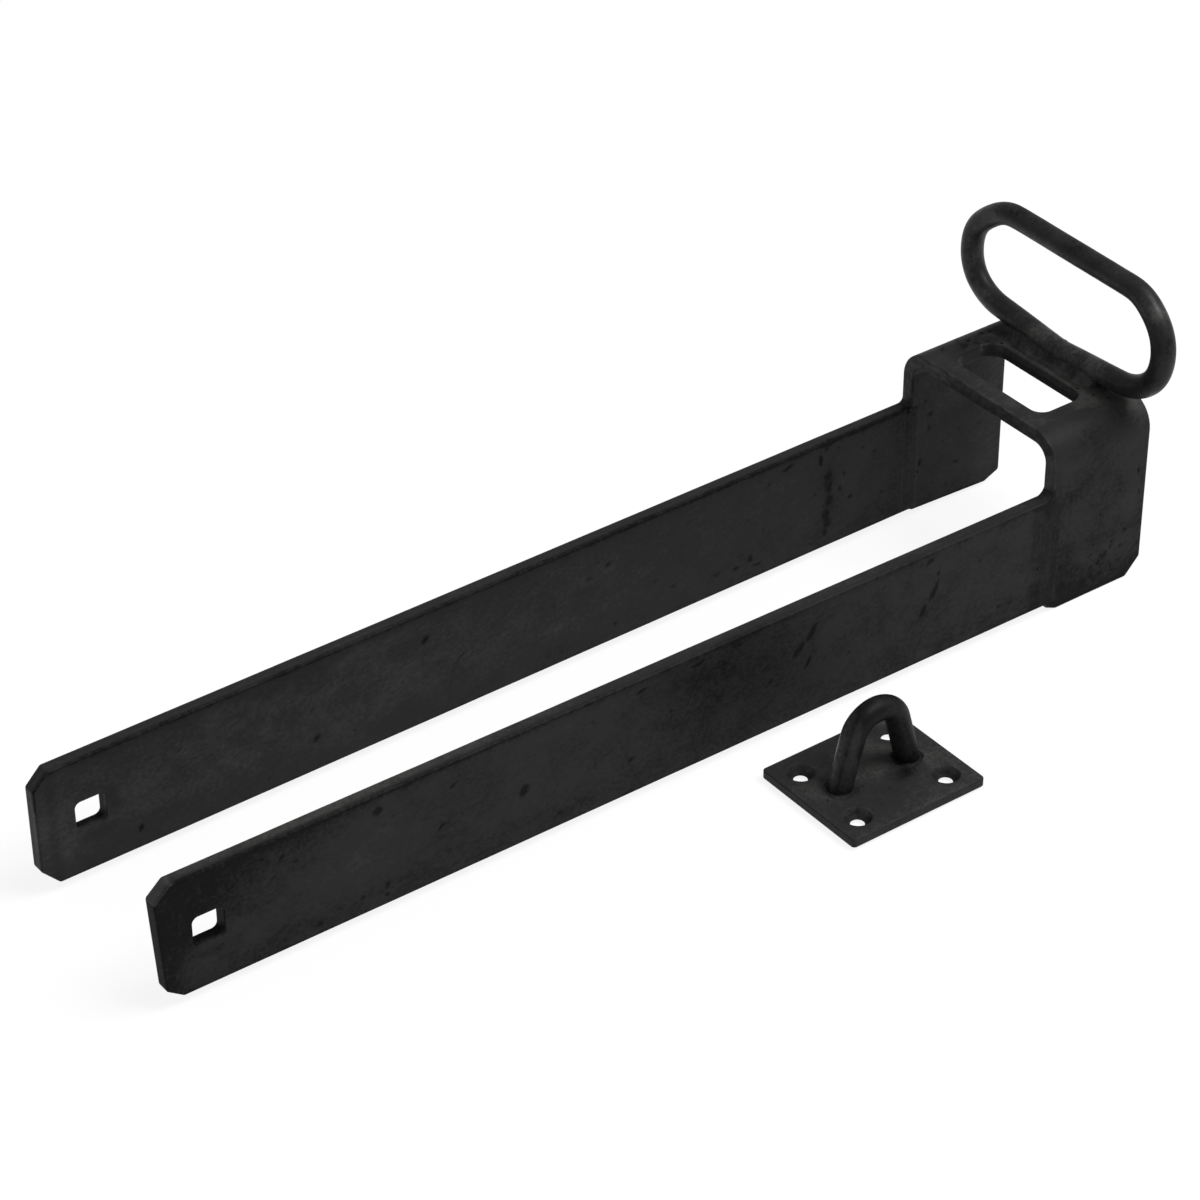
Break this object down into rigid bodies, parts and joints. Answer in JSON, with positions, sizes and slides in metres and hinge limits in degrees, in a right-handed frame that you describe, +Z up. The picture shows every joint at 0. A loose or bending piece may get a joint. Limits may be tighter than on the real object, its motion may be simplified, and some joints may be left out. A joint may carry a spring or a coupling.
{
  "type": "throw over gate latch",
  "caption": "Throw over latch for a pair of gates: a flat-bar loop with a slotted bridge and a round-bar lifting handle, and a staple on a plate for a padlock.",
  "frame": {"origin": "on the pivot axis through the square holes, midway between the two arms and at the middle of their depth", "axes": "+X along the arms from the pivot to the bridge, +Y from the near arm to the far arm (away from the staple), +Z up, the side that the handle stands on"},
  "size_m": [0.3685, 0.1422, 0.1077],
  "materials": {
    "steel": "satin black paint over hot-dip zinc, mottled and lightly worn",
    "weld": "satin black paint over ground and unground weld metal"
  },
  "bodies": {
    "staple": {"staple_plate": "steel", "staple_bow": "steel", "staple_foot_welds": "weld"},
    "loop": {"near_arm": "steel", "far_arm": "steel", "bridge": "steel", "lifting_handle": "steel", "near_arm_weld": "weld", "far_arm_weld": "weld", "handle_front_weld": "weld", "handle_back_weld": "weld", "handle_closing_weld": "weld"}
  },
  "joints": [
    {"name": "loop_swing", "type": "hinge", "parent": "staple", "child": "loop", "pos_m": [0, 0, 0], "axis": [0, -1, 0], "range_deg": [0, 160]}
  ]
}
